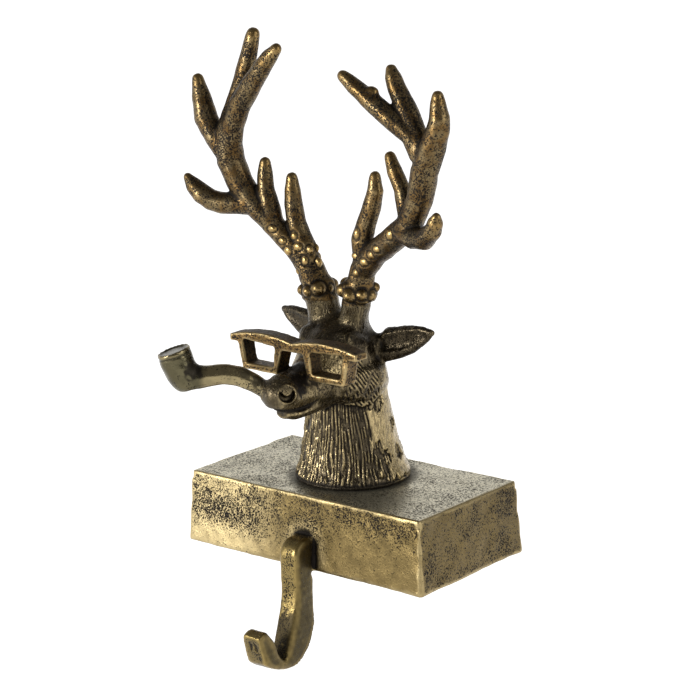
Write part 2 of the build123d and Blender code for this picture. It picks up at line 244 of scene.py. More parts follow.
# What belongs to the hook, in the frame of the whole part: all in front of the first depth, and what lies
# under this height in front of the second
HOOK_DEPTHS = (-35.6, -20.0)
HOOK_HEIGHT = -0.6
# The block's front: between these depths and over this height
FRONT_DEPTHS = (-36.0, -30.0)
FRONT_HEIGHT = 0.6
# The hook's root on the block's front: middle and radius of its arch
ROOT_MIDDLE = (2.0, 9.4)
ROOT_RADIUS = 5.0
# Middle of the hook's throat, seen from the side
THROAT = (-50.0, -24.0)
# Middle of the painted reflection of the bust on the block's top, towards its front corner
BROWNED = (30.0, -21.0)
# Height over which a point belongs to the block's top
TOP_LEVEL = 29.0
# Pits in the hook's flat tip: middle, half sizes
TIP_PITS = (
    ((0.4, -67.4, -24.8), (1.0, 2.0, 2.4)),
    ((3.0, -67.6, -24.2), (1.0, 2.0, 2.5)),
)


def smoothstep(low, high, value):
    """0 below low, 1 above high, and an even curve between them; low may lie above high."""
    share = np.clip((value - low) / (high - low), 0.0, 1.0)
    return share * share * (3.0 - 2.0 * share)


def bell(value, middle, width):
    """1 at the middle, falling evenly to both sides over the width."""
    return np.exp(-(((value - middle) / width) ** 2))


def inside(value, limits):
    """True between two limits."""
    return (value > limits[0]) & (value < limits[1])


def strongest(*masks):
    """The largest of several masks at each point."""
    return np.maximum.reduce(masks)


def region(points, limits):
    """1 in a soft region and 0 outside it."""
    x, y, height = points.T
    measures = {"x": x, "side": np.abs(x), "depth": y, "height": height}
    share = np.ones(len(points))
    for measure, ends in limits.items():
        for end, full in zip(ends[::2], ends[1::2]):
            share = share * smoothstep(end, full, measures[measure])
    return share


def ripple(points, wavelength, seed, waves=24):
    """Smooth random waves of about one wavelength, near 1 in spread, the same each run."""
    random = np.random.default_rng(seed)
    ways = random.normal(size=(waves, 3))
    ways /= np.linalg.norm(ways, axis=1, keepdims=True)
    ways *= math.tau / (wavelength * random.uniform(0.7, 1.4, (waves, 1)))
    shifts = random.uniform(0.0, math.tau, waves)
    return np.cos(points @ ways.T + shifts).sum(axis=1) * math.sqrt(2.0 / waves)


def flattened(points, share):
    """The points at a share of their height, so that ripples on them run long and upright."""
    return points * (1.0, 1.0, share)


def grooves(phase):
    """1 in the middle of a narrow groove at each whole number, 0 on the ridge between two."""
    return (0.5 + 0.5 * np.cos(math.tau * phase)) ** 2


def read_values(collection, name, width, kind):
    """A value of each item in a mesh's collection, in rows of this width."""
    values = np.empty(len(collection) * width, kind)
    collection.foreach_get(name, values)
    return values.reshape(-1, width)


class Skin:
    """A mesh's points in millimetres from an origin, with what is needed to smooth and press them."""

    FAIR_SHARES = (0.6, -0.62)
    RELAX_SHARE = 0.5

    def __init__(self, mesh, origin):
        self.mesh = mesh
        self.origin = origin
        self.points = (read_values(mesh.vertices, "co", 3, np.float64) - origin) / MM
        self.starts, self.ends = read_values(mesh.edges, "vertices", 2, np.int32).T
        self.faces = read_values(mesh.loops, "vertex_index", 1, np.int32).reshape(-1, 4)
        count = len(self.points)
        self.degree = np.bincount(self.starts, minlength=count) + np.bincount(self.ends, minlength=count)

    def around(self, values):
        """The mean of each point's neighbours, for one value or three a point."""
        count = len(self.points)
        columns = values.reshape(count, -1)
        total = np.empty_like(columns)
        for i in range(columns.shape[1]):
            column = columns[:, i]
            total[:, i] = np.bincount(self.starts, column[self.ends], count)
            total[:, i] += np.bincount(self.ends, column[self.starts], count)
        return (total / self.degree[:, None]).reshape(values.shape)

    def smoothed(self, values, turns, share=0.5):
        """The values drawn towards their neighbours' mean this many times."""
        for _ in range(turns):
            values = values + share * (self.around(values) - values)
        return values

    def pull(self, amount):
        """Draws each point towards its neighbours' mean, by its own share of the way."""
        self.points = self.points + amount[:, None] * (self.around(self.points) - self.points)

    def fair(self, turns, amount):
        """Takes out facets without shrinking: each turn draws the points in, then a little further out."""
        for _ in range(turns):
            for share in self.FAIR_SHARES:
                self.pull(share * amount)

    def relax(self, turns, amount):
        """Rounds off edges: each turn draws the points half way to their neighbours' mean."""
        for _ in range(turns):
            self.pull(self.RELAX_SHARE * amount)

    def normals(self):
        """The direction out of the surface at each point."""
        a, b, c, d = (self.points[self.faces[:, i]] for i in range(4))
        across = np.cross(c - a, d - b)
        total = np.zeros_like(self.points)
        for i in range(4):
            for axis in range(3):
                total[:, axis] += np.bincount(self.faces[:, i], across[:, axis], len(self.points))
        return total / np.maximum(np.linalg.norm(total, axis=1, keepdims=True), 1e-12)

    def press(self, rise):
        """Moves each point out along its normal by its rise."""
        self.points = self.points + self.normals() * rise[:, None]

    def relief(self, turns):
        """How far each point stands out of the surface smoothed over its surroundings."""
        mean = self.smoothed(self.points, turns)
        return ((self.points - mean) * self.normals()).sum(axis=1)

    def keep_inside(self, low, high):
        """Moves points that lie outside a box to its sides; its corners are in metres, as in the frame."""
        box = [(np.array(corner) - self.origin) / MM for corner in (low, high)]
        self.points = np.clip(self.points, *box)

    def faces_on(self, mask):
        """True for the faces with at least three of their corners on a mask."""
        return mask[self.faces].sum(axis=1) > 2

    def store(self, **values):
        """Writes the points back to the mesh, and each named value as an attribute of it."""
        places = self.points * MM + self.origin
        self.mesh.vertices.foreach_set("co", places.astype(np.float32).ravel())
        for name, value in values.items():
            attribute = self.mesh.attributes.new(name, "FLOAT", "POINT")
            attribute.data.foreach_set("value", value.astype(np.float32))
        self.mesh.update()


def node_clay(node):
    """A working copy of a CAD node's surface, its seams welded."""
    clay = bmesh.new()
    clay.from_mesh(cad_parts[node].data)
    bmesh.ops.remove_doubles(clay, verts=clay.verts, dist=0.001 * MM)
    return clay


def add_lump(clay, middle, radii):
    """Presses a ball, longer or flatter along the axes, on the clay at a place in the bust's frame."""
    place = Matrix.Translation(Vector(FOOT) + Vector(middle) * MM) @ Matrix.Diagonal((*radii, 1.0))
    bmesh.ops.create_icosphere(clay, subdivisions=3, radius=MM, matrix=place)


def cast(name, clay, grain):
    """A piece with the outer skin of the clay, in even cells of this size."""
    mesh = bpy.data.meshes.new(name)
    clay.to_mesh(mesh)
    clay.free()
    piece = bpy.data.objects.new(name, mesh)
    bpy.context.scene.collection.objects.link(piece)
    remesh = piece.modifiers.new("skin", "REMESH")
    remesh.mode = "VOXEL"
    remesh.voxel_size = grain
    remesh.adaptivity = 0.0
    depsgraph = bpy.context.evaluated_depsgraph_get()
    skin = bpy.data.meshes.new_from_object(piece.evaluated_get(depsgraph))
    piece.modifiers.clear()
    piece.data = skin
    bpy.data.meshes.remove(mesh)
    skin.name = name
    if not skin.polygons:
        raise RuntimeError(f"{name} came out of the remesh empty")
    skin.polygons.foreach_set("use_smooth", np.ones(len(skin.polygons), bool))
    return piece


def keep_faces(piece, wanted):
    """Deletes the faces of a piece that aren't wanted, and the points that only they use."""
    shape = bmesh.new()
    shape.from_mesh(piece.data)
    shape.faces.ensure_lookup_table()
    unwanted = [shape.faces[i] for i in np.flatnonzero(~wanted)]
    bmesh.ops.delete(shape, geom=unwanted, context="FACES")
    shape.to_mesh(piece.data)
    shape.free()


def paint_faces(piece, materials, index):
    """Gives a piece its materials, and each face the one with its index."""
    piece.data.materials.clear()
    for material in materials:
        piece.data.materials.append(material)
    piece.data.polygons.foreach_set("material_index", index.astype(np.int32))
    piece.data.update()


# Shader nodes


def set_inputs(tree, node, inputs):
    """Gives a node its inputs: a socket is linked, anything else is set as a value."""
    for name, value in inputs.items():
        if isinstance(value, bpy.types.NodeSocket):
            tree.links.new(value, node.inputs[name])
        else:
            node.inputs[name].default_value = value


def add_node(tree, kind, inputs=None, **settings):
    """A node with these settings and inputs."""
    node = tree.nodes.new(kind)
    for name, value in settings.items():
        setattr(node, name, value)
    set_inputs(tree, node, inputs or {})
    return node


def new_material(name):
    """A material, its tree of nodes and its shader."""
    material = bpy.data.materials.new(name)
    material.use_nodes = True
    tree = material.node_tree
    return material, tree, tree.nodes["Principled BSDF"]


def calculate(tree, operation, first, second=0.0, clamp=False):
    """The result of a Math node."""
    inputs = {0: first, 1: second}
    return add_node(tree, "ShaderNodeMath", inputs, operation=operation, use_clamp=clamp).outputs[0]


def largest(tree, first, *others):
    """The largest of several sockets."""
    for other in others:
        first = calculate(tree, "MAXIMUM", first, other)
    return first


def between(tree, value, low, high, start=0.0, end=1.0):
    """start where the value is low, end where it is high, with an even curve between."""
    inputs = {"Value": value, "From Min": low, "From Max": high, "To Min": start, "To Max": end}
    return add_node(tree, "ShaderNodeMapRange", inputs, interpolation_type="SMOOTHSTEP").outputs[0]


def blend_colours(tree, share, first, second):
    """The first colour where the share is 0, the second where it is 1."""
    return add_node(tree, "ShaderNodeMix", {0: share, 6: first, 7: second}, data_type="RGBA").outputs[2]


def noise(tree, coordinates, size, detail=2.0, distortion=0.0):
    """A noise whose marks are about this size, which is in millimetres or a socket."""
    scale = calculate(tree, "DIVIDE", 1.0 / MM, size)
    inputs = {"Vector": coordinates, "Scale": scale, "Detail": detail, "Distortion": distortion}
    return add_node(tree, "ShaderNodeTexNoise", inputs).outputs["Fac"]


def new_group(name, inputs, outputs):
    """A shader node group with these sockets, what it takes in, and the node for what it gives."""
    group = bpy.data.node_groups.new(name, "ShaderNodeTree")
    for label, kind, default in inputs:
        socket = group.interface.new_socket(label, in_out="INPUT", socket_type=kind)
        socket.default_value = default
    for label, kind in outputs:
        group.interface.new_socket(label, in_out="OUTPUT", socket_type=kind)
    return group, group.nodes.new("NodeGroupInput").outputs, group.nodes.new("NodeGroupOutput")


FLOAT = "NodeSocketFloat"
COLOUR = "NodeSocketColor"
ANTIQUE_GROUP = "Antiqued Brass"
# The group's inputs that come from mesh attributes of the same names in small letters, and its four tones
MASKS = ("Relief", "Hollow", "Rubbed", "Sheen", "Stain", "Pitted")
TONES = ("Metal", "Second Metal", "Gold", "Patina")
BUMP_DEPTH = 0.25 * MM


def antique_group():
    """Antiqued brass: dark in hollows and pits, where stained and under painted shade, the metal's own tone
    between, gold where it is rubbed or painted light.
    """
    inputs = (
        *((name, FLOAT, 0.0) for name in MASKS),
        *((name, COLOUR, (0.2, 0.15, 0.07, 1.0)) for name in TONES),
        ("Edge Gold", FLOAT, 1.0),
        ("Pit Size", FLOAT, 0.6),
        ("Pits", FLOAT, 0.5),
        ("Pit Spread", FLOAT, 0.0),
        ("Patch Size", FLOAT, 14.0),
        ("Streaks", FLOAT, 0.0),
        ("Smoothness", FLOAT, 0.3),
    )
    outputs = (("Colour", COLOUR), ("Roughness", FLOAT), ("Height", FLOAT), ("Metallic", FLOAT))
    group, taken, given = new_group(ANTIQUE_GROUP, inputs, outputs)
    coordinates = add_node(group, "ShaderNodeTexCoord").outputs["Object"]

    patches = noise(group, coordinates, taken["Patch Size"], detail=3.0)
    flecks = noise(group, coordinates, taken["Pit Size"], detail=2.0, distortion=0.7)
    tone = noise(group, coordinates, 5.0, detail=4.0)
    stretched = {"Vector": coordinates, "Scale": (1.0, 1.0, 0.13)}
    drawn = add_node(group, "ShaderNodeMapping", stretched).outputs[0]
    hairs = between(group, noise(group, drawn, 0.7), 0.5, 0.64)
    hairs = calculate(group, "MULTIPLY", hairs, taken["Streaks"])
    raised = between(group, taken["Relief"], 0.02, 0.16)
    sunk = between(group, taken["Relief"], -0.02, -0.14)
    deep = between(group, taken["Hollow"], -0.1, -0.8)
    bare = largest(group, calculate(group, "MULTIPLY", raised, 0.7), taken["Rubbed"])

    # Pits crowd together in patches and leave the rubbed places clean
    crowd = between(group, patches, 0.3, 0.7, taken["Pit Spread"], 1.0)
    for share in (taken["Pits"], taken["Pitted"], calculate(group, "SUBTRACT", 1.0, bare)):
        crowd = calculate(group, "MULTIPLY", crowd, share)
    limit = calculate(group, "SUBTRACT", 0.74, calculate(group, "MULTIPLY", crowd, 0.26))
    pits = between(group, calculate(group, "SUBTRACT", flecks, limit), -0.03, 0.05)

    metal = blend_colours(group, between(group, tone, 0.38, 0.62), taken["Metal"], taken["Second Metal"])
    shine = calculate(group, "MULTIPLY", raised, taken["Edge Gold"])
    # The sheen mask lightens towards the gold for wear, and also for painted light
    shine = largest(group, shine, taken["Rubbed"], taken["Sheen"])
    shine = calculate(group, "MULTIPLY", shine, between(group, tone, 0.25, 0.55, 0.55, 1.0), clamp=True)
    colour = blend_colours(group, shine, metal, taken["Gold"])
    # Darkening from the stained and painted shade mask: patina, and also painted shade and painted
    # reflections
    dark = largest(group, pits, sunk, deep, calculate(group, "MULTIPLY", hairs, 0.8), taken["Stain"])
    colour = blend_colours(group, dark, colour, taken["Patina"])

    rough = calculate(group, "ADD", taken["Smoothness"], calculate(group, "MULTIPLY", dark, 0.3))
    rough = calculate(group, "ADD", rough, between(group, flecks, 0.3, 0.7, 0.08, -0.04))
    height = calculate(group, "SUBTRACT", calculate(group, "MULTIPLY", flecks, 0.55), pits)
    height = calculate(group, "SUBTRACT", height, calculate(group, "MULTIPLY", hairs, 0.7))
    metallic = calculate(group, "SUBTRACT", 1.0, calculate(group, "MULTIPLY", dark, 0.1))
    results = {"Colour": colour, "Roughness": rough, "Height": height, "Metallic": metallic}
    set_inputs(group, given, results)
    return group


def antique_brass(name, bump, tones, **values):
    """A material of antiqued brass: strength of its bump, its four tones, and the group's other values."""
    material, tree, shader = new_material(name)
    inputs = {label.replace("_", " "): value for label, value in values.items()}
    for tone, colour in zip(TONES, tones):
        inputs[tone] = (*colour, 1.0)
    for mask in MASKS:
        inputs[mask] = add_node(tree, "ShaderNodeAttribute", attribute_name=mask.lower()).outputs["Fac"]
    group = bpy.data.node_groups.get(ANTIQUE_GROUP) or antique_group()
    finish = add_node(tree, "ShaderNodeGroup", inputs, node_tree=group).outputs
    bumps = {"Strength": bump, "Distance": BUMP_DEPTH, "Height": finish["Height"]}
    looks = {
        "Base Color": finish["Colour"],
        "Roughness": finish["Roughness"],
        "Metallic": finish["Metallic"],
        "Normal": add_node(tree, "ShaderNodeBump", bumps).outputs["Normal"],
    }
    set_inputs(tree, shader, looks)
    return material


def shade(colour, factor):
    """A colour made darker or lighter."""
    return tuple(factor * part for part in colour)


# Settings


def length(name, description, default, least=0.0):
    """A length setting, its default and its least value given in millimetres."""
    return FloatProperty(
        name=name, description=description, default=default * MM, min=least * MM, unit="LENGTH"
    )


def tint(name, description, colour):
    """A colour setting, linear."""
    return FloatVectorProperty(
        name=name, description=description, default=colour, size=3, subtype="COLOR", min=0.0, max=1.0
    )


def number(name, description, default, **limits):
    """A plain number as a setting."""
    return FloatProperty(name=name, description=description, default=default, **limits)


def spot(name, description, default):
    """A place in the scene, in metres."""
    return FloatVectorProperty(name=name, description=description, default=default, size=3, subtype="XYZ")


class DeerHookBust(PropertyGroup):
    """Sizes of the bust's surface."""

    grain: length("Grain", "Cell size of the bust's skin", 0.525, 0.3)
    fur_strands: IntProperty(name="Fur strands", description="Grooves round the neck", default=84, min=8)
    fur_depth: length("Fur depth", "Depth of the neck's grooves", 0.95)
    ruff_spacing: length("Ruff spacing", "Distance of the cheek's grooves", 1.45, 0.1)
    ruff_depth: length("Ruff depth", "Depth of the cheek's grooves", 0.75)
    pearl_radius: length("Pearl radius", "Radius of the antlers' pearls", 1.8)
    antler_cut: length("Antler cut", "Height over the foot at which the antlers' mesh begins", 76.0)


class DeerHookBlock(PropertyGroup):
    """Sizes of the block's and the hook's surface."""

    grain: length("Grain", "Cell size of the block's skin", 0.75, 0.4)
    waves: length("Waves", "Unevenness of the cast faces", 0.12)
    root_groove: length("Root groove", "Depth of the groove round the hook's root", 0.7)


class DeerHookFinish(PropertyGroup):
    """Colours of the finish."""

    # The golds colour rubbed places and also painted light and painted highlights; the patina colours
    # painted shade as well as the antiquing
    gold: tint("Gold", "Rubbed brass of block and spectacles", (0.52, 0.41, 0.21))
    dull_gold: tint("Dull gold", "Rubbed brass of head and neck", (0.51, 0.395, 0.2))
    patina: tint("Patina", "Antiquing in the hollows", (0.015, 0.012, 0.009))
    # Lighter patina in the top's pits, in part painted light
    grey_patina: tint("Grey patina", "Antiquing in the top's pits", (0.095, 0.083, 0.056))
    fur: tint("Fur", "Brass of head and neck", (0.085, 0.067, 0.041))
    antler: tint("Antler", "Brass of the antlers", (0.14, 0.103, 0.052))
    antler_brown: tint("Antler brown", "Brown tone in the antlers' brass", (0.098, 0.058, 0.021))
    antler_gold: tint("Antler gold", "Rubbed pearls and edges of the antlers", (0.33, 0.22, 0.085))
    spectacles: tint("Spectacles", "Brass of the spectacles", (0.21, 0.128, 0.046))
    pipe: tint("Pipe", "Brass of the pipe", (0.10, 0.088, 0.05))
    hook: tint("Hook", "Brass of the hook", (0.122, 0.092, 0.036))
    hook_gold: tint("Hook gold", "Rubbed brass of the hook", (0.50, 0.36, 0.13))
    block: tint("Block", "Brass of the block's sides", (0.165, 0.119, 0.048))
    # The top's brass is lighter and greyer than the sides': in part its own finish, in part painted light
    # for the light the top catches
    top: tint("Block top", "Brass of the block's top", (0.82, 0.755, 0.565))


class DeerHookStage(PropertyGroup):
    """Camera and light."""

    camera_place: spot("Camera place", "Where the camera stands", (0.6037, -0.7250, 0.3237))
    camera_aim: spot("Camera aim", "Point in the picture's middle", (-0.0003, 0.0014, 0.0850))
    camera_roll: number("Camera roll", "Tilt of the picture", math.radians(-1.5), subtype="ANGLE")
    camera_lens: number("Camera lens", "Focal length in millimetres", 120.36)
    world_light: number("World light", "Strength of the studio's even light", 0.22, min=0.0)
    key_light: number("Key light", "Power of the soft box on the left, in watts", 13.0, min=0.0)
    fill_light: number("Fill light", "Power of the soft box on the right, in watts", 5.0, min=0.0)


# Bust


def bust_lumps(pearl_radius):
    """Pearls on the beams' front and back, and lumps round the burrs: middle and radii of each."""
    random = np.random.default_rng(seed=7)
    lumps = []
    for x, y, height in PEARLS:
        middle = np.interp(height, BEAM_HEIGHTS, BEAM_MIDDLES)
        for place_y in (y + PEARL_SINK, 2.0 * middle - y - PEARL_SINK):
            radius = pearl_radius * random.uniform(*PEARL_SPREAD)
            stretch = random.uniform(*PEARL_STRETCH)
            radii = (radius * stretch, PEARL_FLATNESS * radius, radius / stretch)
            lumps.append(((x, place_y, height), radii))
    for middle, direction in BURRS:
        turn = Vector((0, 0, 1)).rotation_difference(Vector(direction))
        for i in range(BURR_LUMPS):
            angle = math.tau * (i + random.uniform(-BURR_SHIFT, BURR_SHIFT)) / BURR_LUMPS
            sway = random.uniform(-BURR_SWAY, BURR_SWAY)
            arm = Vector((BURR_RING * math.cos(angle), BURR_RING * math.sin(angle), sway))
            lumps.append((tuple(Vector(middle) + turn @ arm), (random.uniform(*BURR_RADII),) * 3))
    return lumps


def lump_masks(points, lumps):
    """1 on the lumps and 0 away from them, and 1 in the ring round each lump."""
    gap = np.full(len(points), np.inf)
    for middle, radii in lumps:
        gap = np.minimum(gap, (np.linalg.norm((points - middle) / radii, axis=1) - 1.0) * radii[0])
    return smoothstep(0.9, 0.2, gap), smoothstep(0.1, 0.3, gap) * smoothstep(1.4, 0.7, gap)


def spectacle_mask(points):
    """True on the spectacles."""
    x, y, height = points.T
    half_width, middle, rise = NOSE_ARCH
    nose = ((np.abs(x) / half_width) ** 2 + ((height - middle) / rise) ** 2) < 1.0
    return inside(y, SPECTACLE_DEPTHS) & inside(height, SPECTACLE_HEIGHTS) & ~nose


def lens_mask(points):
    """True in the openings of the spectacles."""
    x, y, height = points.T
    across = inside(np.abs(x - LENS_MIDDLE), LENS_SIDES)
    return across & inside(height, LENS_HEIGHTS) & inside(y, LENS_DEPTHS)


def along_pipe(points):
    """How far each point lies from the lips along the pipe's way."""
    return (points[:, :2] - PIPE_ROOT) @ PIPE_WAY


def pipe_mask(points):
    """True on the pipe."""
    return (points[:, 1] < PIPE_FRONT) & (along_pipe(points) > PIPE_START)


def rim_line(points):
    """1 on the thin line under the pipe bowl's rim."""
    way, height = BOWL_RIM
    out = (along_pipe(points) - way) * math.sin(BOWL_LEAN)
    return bell(out + (points[:, 2] - height) * math.cos(BOWL_LEAN), RIM_LINE, RIM_LINE_WIDTH)


def neck_frame(points):
    """The neck's mask, and each point's turn from the front, reach from the axis and full radius."""
    x, y, height = points.T
    y = y - np.interp(height, NECK_HEIGHTS, NECK_LEANS)
    reach = np.hypot(x, y)
    radius = np.interp(height, NECK_HEIGHTS, NECK_RADII)
    mask = smoothstep(2.0, 1.2, np.abs(reach - radius + 0.4)) * smoothstep(47.0, 43.0, height)
    return mask, np.arctan2(x, -y), reach, radius


def even_neck(points):
    """The points with the neck's coarse locks evened out, ready for finer fur."""
    mask, _, reach, radius = neck_frame(points)
    scale = 1.0 + mask * ((radius - 0.15) / np.maximum(reach, 1.0) - 1.0)
    lean = np.interp(points[:, 2], NECK_HEIGHTS, NECK_LEANS)
    evened = points.copy()
    evened[:, 0] = points[:, 0] * scale
    evened[:, 1] = lean + (points[:, 1] - lean) * scale
    return evened


def slim_cheeks(points):
    """The points with the back of the cheeks drawn in, so that they run straight down to the neck."""
    x, y, height = points.T
    limit = np.interp(height, CHEEK_HEIGHTS, CHEEK_LIMITS)
    excess = np.maximum(np.abs(x) * CHEEK_WAY[0] + y * CHEEK_WAY[1] - limit, 0.0)
    excess = excess * region(points, CHEEK_BACKS)
    moved = points.copy()
    moved[:, 0] -= np.sign(x) * CHEEK_WAY[0] * excess
    moved[:, 1] -= CHEEK_WAY[1] * excess
    return moved


def jaw_mask(points):
    """1 on the cheeks over the jaw's lower edge and 0 under it, and each point's height over that edge."""
    _, turn, _, _ = neck_frame(points)
    over = points[:, 2] - np.interp(np.abs(turn), JAW_TURNS, JAW_HEIGHTS)
    return smoothstep(-0.4, 0.4, over), over


def rubbed_patches(points, turn):
    """1 where the neck is rubbed smooth: in a ragged patch on its left side, and in one at its back."""
    height = points[:, 2]
    drawn = flattened(points, 0.3)
    edge = np.interp(height, PATCH_HEIGHTS, PATCH_EDGES) - 0.13 * ripple(drawn, 4.0, seed=3)
    patch = smoothstep(0.0, 0.12, turn - edge) * smoothstep(2.4, 2.2, turn)
    spots = ripple(flattened(points, 0.55), 7.5, seed=17) + 0.3 * ripple(points, 2.0, seed=18)
    patch = patch * smoothstep(-1.2, -1.0, spots)
    back = 0.9 - np.abs(turn + 2.2) / 0.45 - np.abs(height - 18.0) / 26.0
    back = back + 0.4 * ripple(drawn, 6.0, seed=4)
    return np.maximum(patch, smoothstep(0.3, 0.6, back))


def neck_strands(points, turn, strands):
    """0 in the strands down the neck, which wander a little and break off here and there, 1 beside them."""
    phase = strands * turn / math.tau + 0.16 * ripple(flattened(points, 0.6), 14.0, seed=1)
    phase = phase + 0.22 * ripple(flattened(points, 0.12), 4.5, seed=16)
    breaks = smoothstep(-1.0, 0.3, ripple(flattened(points, 0.3), 2.8, seed=2))
    return 1.0 - grooves(phase) * (0.15 + 0.85 * breaks)


def ruff_grooves(points, spacing):
    """1 in the grooves of the cheek's coarse hair, which runs back and down."""
    _, y, height = points.T
    bare_edge = y + 0.55 * (height - 45.0) + 1.5 * ripple(points, 5.0, seed=7)
    hair = (0.87 * y + 0.50 * height) / spacing + 0.1 * ripple(points, 10.0, seed=5)
    along = points @ np.array([[0.6, 0.0, 0.0], [0.0, 0.80, -0.34], [0.0, -0.34, 0.40]])
    breaks = smoothstep(-0.8, 0.2, ripple(along, 3.2, seed=6))
    return region(points, RUFF) * smoothstep(-3.0, -7.0, bare_edge) * grooves(hair) * breaks


def fine_hair(points):
    """How deep the fine hair is cut on the crown and along the ears."""
    x, _, height = points.T
    crown = grooves(x / 1.5 + 0.35 * ripple(points, 6.0, seed=8))
    crown = crown * smoothstep(-0.6, 0.8, ripple(points, 4.0, seed=9))
    ears = grooves((height - 0.45 * np.abs(x)) / 1.5 + 0.2 * ripple(points, 8.0, seed=10))
    ears = ears * smoothstep(-0.9, 0.5, ripple(points, 4.0, seed=15))
    crown_depth = CROWN_HAIR_DEPTH * region(points, CROWN_HAIR)
    return crown_depth * crown + EAR_HAIR_DEPTH * region(points, EARS) * ears


def fur_rise(points, settings):
    """The rise of the fur, below 0 in its grooves, and where the neck is rubbed smooth."""
    height = points[:, 2]
    neck, turn, _, _ = neck_frame(points)
    jaw, _ = jaw_mask(points)
    neck = neck * (1.0 - jaw)
    rubbed = neck * rubbed_patches(points, turn)
    strands = neck_strands(points, turn, settings.fur_strands) * (1.0 - rubbed)
    # The strands end over the foot, where the neck is drawn in
    strands = strands * smoothstep(1.6, 3.0, height) + 0.6 * smoothstep(2.8, 2.2, height)
    ruff = (1.0 - neck) * ruff_grooves(points, settings.ruff_spacing / MM)
    depth = settings.fur_depth / MM * neck * strands + settings.ruff_depth / MM * ruff
    return -depth - fine_hair(points), rubbed


def near_either(points, middle, radius):
    """1 near a place and near its mirror image on the other side of the head."""
    x, y, height = points.T
    away = np.linalg.norm(np.column_stack((np.abs(x), y, height)) - middle, axis=1)
    return smoothstep(radius, 0.6 * radius, away)


def bust_sheen(points):
    """Where the brass is lighter: on the cheeks' backs, the head and under the burrs; painted light on the
    muzzle's sides, in the eyes behind the spectacles and on the pipe's stem.
    """
    head = 0.12 * region(points, PALE_HEAD) + 0.3 * region(points, PALE_MUZZLE)
    cheeks = 0.6 * region(points, PALE_CHEEKS)
    pedicles = 0.16 * region(points, PALE_PEDICLES)
    sheen = strongest(head, cheeks, pedicles, 0.9 * near_either(points, EYE, EYE_REACH))
    stem = smoothstep(27.0, 22.0, along_pipe(points))
    return np.where(pipe_mask(points), 0.4 * stem, 0.76 * sheen * (1.0 - region(points, EARS)))


def bust_stains(points):
    """Where the brass is darkened: by the nose, on the crown, the ears (more on the one at negative x), the
    neck and the pipe, and in the lenses; painted shade under the jaw and the spectacles, on the muzzle's
    front and on the stem's top; a dark joint with painted contact shadow round the foot.
    """
    x, y, height = points.T
    neck, turn, _, _ = neck_frame(points)
    _, over = jaw_mask(points)
    # A dark band round the foot: the joint's own dark, and painted contact shadow; painted shadow under the
    # jaw's edge
    foot = 0.9 * smoothstep(3.3, 2.3, height + 1.8 * smoothstep(1.2, 1.6, turn))
    under_jaw = 0.6 * neck * bell(over, -1.0, 1.1) * smoothstep(1.5, 1.2, turn)
    beside_patch = 0.45 * neck * bell(turn, 0.92, 0.16) * smoothstep(6.0, 14.0, height)
    crown = 0.2 * region(points, CROWN_STAIN)
    ears = np.where(x < 0.0, 0.3, 0.1) * region(points, EARS)
    lenses = 0.6 * lens_mask(points)
    stain = strongest(foot, under_jaw, beside_patch * smoothstep(0.0, -1.0, over), crown, ears, lenses)
    ragged = 0.16 * ripple(points, 2.2, seed=31)
    both_sides = np.column_stack((np.abs(x), y, height))
    for places, stains in ((both_sides, FACE_STAINS), (points, PIPE_STAINS)):
        for middle, radius, strength in stains:
            away = np.linalg.norm(places - middle, axis=1) / radius + ragged
            stain = np.maximum(stain, strength * smoothstep(1.1, 0.65, away))
    return stain


def mouth_mask(points):
    """1 in the slit between the muzzle and the lower lip, on both sides."""
    line = np.interp(points[:, 1], MOUTH_DEPTHS, MOUTH_HEIGHTS)
    return bell(points[:, 2], line, MOUTH_WIDTH) * region(points, MOUTH)


def bust_parts(skin, settings, lumps):
    """Evens the cast form, and notes how much each point lies on the bust's parts."""
    on = SimpleNamespace(spectacles=spectacle_mask(skin.points), pipe=pipe_mask(skin.points))
    skin.points = slim_cheeks(even_neck(skin.points))
    bumps, on.rings = lump_masks(skin.points, lumps)
    on.bumps = skin.smoothed(bumps, 2)
    edges = skin.smoothed(np.where(on.spectacles, 0.9, 1.0), 4)
    skin.fair(10, edges * (1.0 - 0.8 * on.bumps))
    cut = settings.antler_cut / MM
    on.antlers = smoothstep(cut - 2.0, cut + 3.0, skin.points[:, 2])
    on.head = (1.0 - on.antlers) * (1.0 - skin.smoothed(1.0 * on.spectacles, 4))
    on.soft_pipe = skin.smoothed(1.0 * on.pipe, 4)
    return on


def shape_bust(skin, on):
    """Rounds nostrils, pipe, nape and brow, lowers the crown, lifts the jaw and takes out the facets."""
    skin.relax(6, near_either(skin.points, NOSTRIL, NOSTRIL_REACH))
    stem = on.soft_pipe * region(skin.points, PIPE_STEM)
    skin.relax(30, stem)
    skin.press(STEM_RISE * stem)
    skin.relax(30, region(skin.points, NAPE))
    temples, crown, brow = (region(skin.points, limits) for limits in (TEMPLES, CROWN_BACK, BROW))
    skin.press(-TEMPLE_DROP * temples)
    skin.press(-CROWN_DROP * crown)
    skin.relax(60, 0.9 * brow)
    neck, _, _, _ = neck_frame(skin.points)
    jaw, over = jaw_mask(skin.points)
    skin.press(JAW_RISE * neck * jaw * smoothstep(7.0, 3.0, over))
    cupped = np.minimum(skin.smoothed(skin.relief(60), 4), 0.0)
    skin.press(-EAR_FILL * cupped * region(skin.points, EARS))
    skin.fair(50, np.maximum(on.antlers, on.head) * (1.0 - 0.95 * on.bumps))


